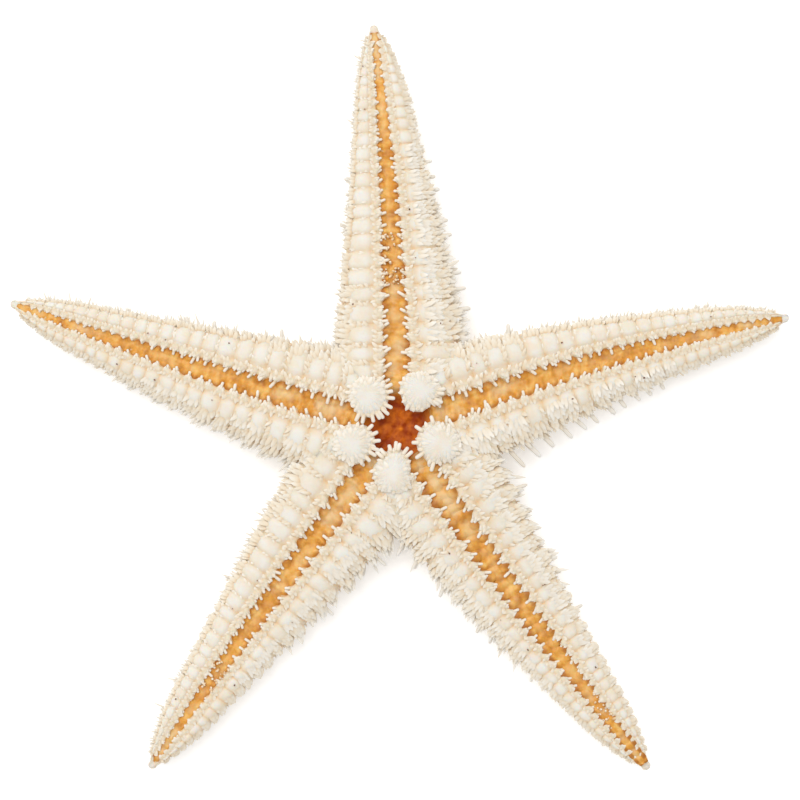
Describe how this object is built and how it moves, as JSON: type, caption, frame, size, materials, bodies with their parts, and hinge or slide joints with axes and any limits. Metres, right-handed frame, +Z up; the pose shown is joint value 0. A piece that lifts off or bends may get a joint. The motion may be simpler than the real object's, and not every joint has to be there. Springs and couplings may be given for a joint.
{
  "type": "dried starfish",
  "caption": "Dried, bleached sand star with long tapering arms, lying on its back with its mouth side up, with food grooves and a fringe of marginal spines.",
  "frame": {"origin": "on the resting plane, under the middle of the mouth", "axes": "+Z up, out of the mouth; +Y towards the arm that points up the picture, within four degrees; +X to the right when looking down on the mouth"},
  "size_m": [0.1207, 0.1153, 0.0102],
  "materials": {
    "skin": "matt",
    "plates": "matt",
    "spines": "matt",
    "groove": "dried, slightly glossy",
    "membrane": "dried, slightly glossy"
  },
  "bodies": {
    "root": {"starfish": "skin"}
  },
  "joints": []
}
